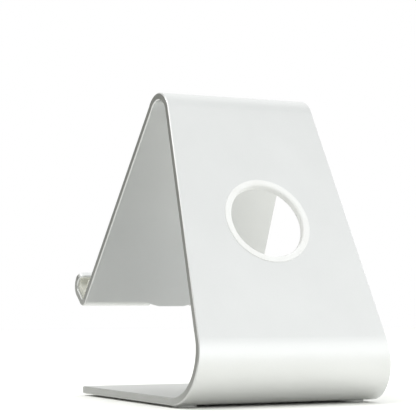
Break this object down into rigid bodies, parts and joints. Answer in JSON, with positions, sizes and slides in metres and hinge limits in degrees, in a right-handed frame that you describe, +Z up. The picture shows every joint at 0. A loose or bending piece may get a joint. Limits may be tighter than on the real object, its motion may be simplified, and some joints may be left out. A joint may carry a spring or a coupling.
{
  "type": "tablet stand",
  "caption": "Fixed-angle desk stand for a tablet: one bent aluminium strip with a lined cable hole, a notched trough for the tablet's lower edge, soft pads and rubber feet.",
  "frame": {"origin": "middle of the bounding box, at the surface that the feet stand on", "axes": "+Z up; -Y is the side that the tablet faces, +Y is the back of the leg; X runs across the stand"},
  "size_m": [0.0952, 0.1342, 0.1328],
  "materials": {
    "blasted_aluminium": "fine bead-blasted, clear anodised, with bright bevelled edges",
    "white_grommet": "smooth white soft plastic",
    "clear_foot": "translucent soft polyurethane",
    "trough_silicone": "matt translucent silicone, warm grey",
    "pad_silicone": "matt translucent silicone"
  },
  "bodies": {
    "root": {"stand_body": "blasted_aluminium", "cable_grommet": "white_grommet", "foot_front_left": "clear_foot", "foot_front_right": "clear_foot", "foot_rear_left": "clear_foot", "foot_rear_right": "clear_foot", "lip_liner_left": "trough_silicone", "lip_liner_right": "trough_silicone", "rest_pad_left": "pad_silicone", "rest_pad_right": "pad_silicone"}
  },
  "joints": []
}
